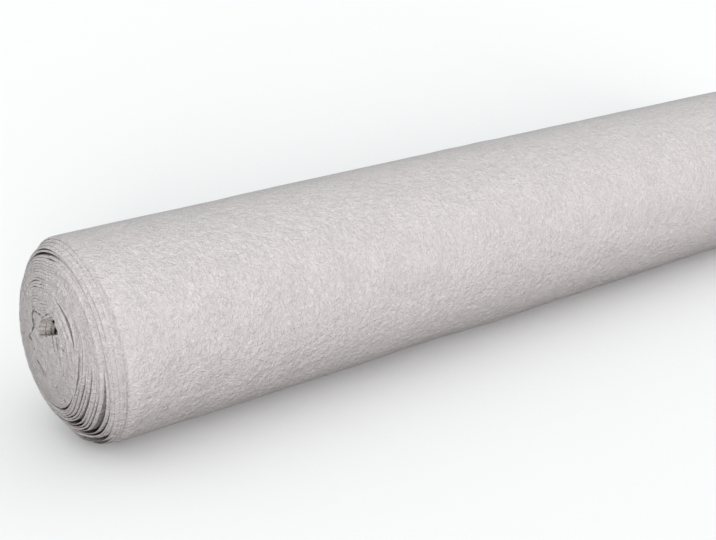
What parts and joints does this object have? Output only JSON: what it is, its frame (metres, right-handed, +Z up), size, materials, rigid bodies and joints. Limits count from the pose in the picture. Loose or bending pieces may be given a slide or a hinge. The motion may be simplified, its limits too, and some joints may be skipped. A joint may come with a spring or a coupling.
{
  "type": "roll of geotextile",
  "caption": "Roll of pale grey needle-punched geotextile, wound without a core and lying on its side, one end crowned by slid turns around a fallen-in hollow middle.",
  "frame": {"origin": "on the surface below the middle of the roll", "axes": "+X along the roll, from the crowned end to the dished end; +Z up"},
  "size_m": [1.0366, 0.1722, 0.1662],
  "materials": {
    "geotextile": "matt needle-punched felt with a fine fibrous surface"
  },
  "bodies": {
    "root": {"roll": "geotextile"}
  },
  "joints": []
}
